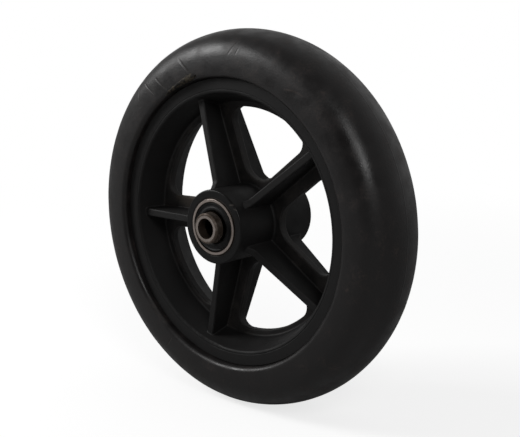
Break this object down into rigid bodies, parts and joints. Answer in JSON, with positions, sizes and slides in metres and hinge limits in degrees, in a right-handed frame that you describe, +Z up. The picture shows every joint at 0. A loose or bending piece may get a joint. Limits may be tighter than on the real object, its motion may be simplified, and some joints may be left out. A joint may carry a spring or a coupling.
{
  "type": "wheelchair wheel",
  "caption": "Front wheel of a wheelchair: a solid black tyre on a moulded rim with ribbed spokes, turning on sealed ball bearings and short steel bushes.",
  "frame": {"origin": "centre of the wheel, on the axle's axis and the mid-plane", "axes": "+Y along the axle, from the face shown in the picture to the far face; +Z up; +X to the right as seen from the front"},
  "size_m": [0.15, 0.051, 0.15],
  "materials": {
    "tyre": "satin black, scuffed",
    "rim": "moulded, matte black",
    "bearing_steel": "ground, bright",
    "seal": "satin",
    "cage": "moulded",
    "spacer_steel": "drawn",
    "bush": "turned, tarnished"
  },
  "bodies": {
    "axle_set": {"spacer_tube": "spacer_steel", "inner_race_front": "bearing_steel", "end_bush_front": "bush", "inner_race_back": "bearing_steel", "end_bush_back": "bush"},
    "wheel": {"rim": "rim", "tyre": "tyre", "outer_race_front": "bearing_steel", "seal_front_outer": "seal", "seal_front_inner": "seal", "outer_race_back": "bearing_steel", "seal_back_outer": "seal", "seal_back_inner": "seal"},
    "balls_front": {"cage_front": "cage", "ball_front_1": "bearing_steel", "ball_front_2": "bearing_steel", "ball_front_3": "bearing_steel", "ball_front_4": "bearing_steel", "ball_front_5": "bearing_steel", "ball_front_6": "bearing_steel", "ball_front_7": "bearing_steel"},
    "balls_back": {"cage_back": "cage", "ball_back_1": "bearing_steel", "ball_back_2": "bearing_steel", "ball_back_3": "bearing_steel", "ball_back_4": "bearing_steel", "ball_back_5": "bearing_steel", "ball_back_6": "bearing_steel", "ball_back_7": "bearing_steel"}
  },
  "joints": [
    {"name": "wheel_spin", "type": "hinge", "parent": "axle_set", "child": "wheel", "pos_m": [0, 0, 0], "axis": [0, 1, 0], "continuous": true},
    {"name": "balls_front_roll", "type": "hinge", "parent": "axle_set", "child": "balls_front", "pos_m": [0, 0, 0], "axis": [0, 1, 0], "continuous": true},
    {"name": "balls_back_roll", "type": "hinge", "parent": "axle_set", "child": "balls_back", "pos_m": [0, 0, 0], "axis": [0, 1, 0], "continuous": true}
  ],
  "couplings": [
    {"joint": "balls_front_roll", "follows": "wheel_spin", "ratio": 0.6323},
    {"joint": "balls_back_roll", "follows": "wheel_spin", "ratio": 0.6323}
  ]
}
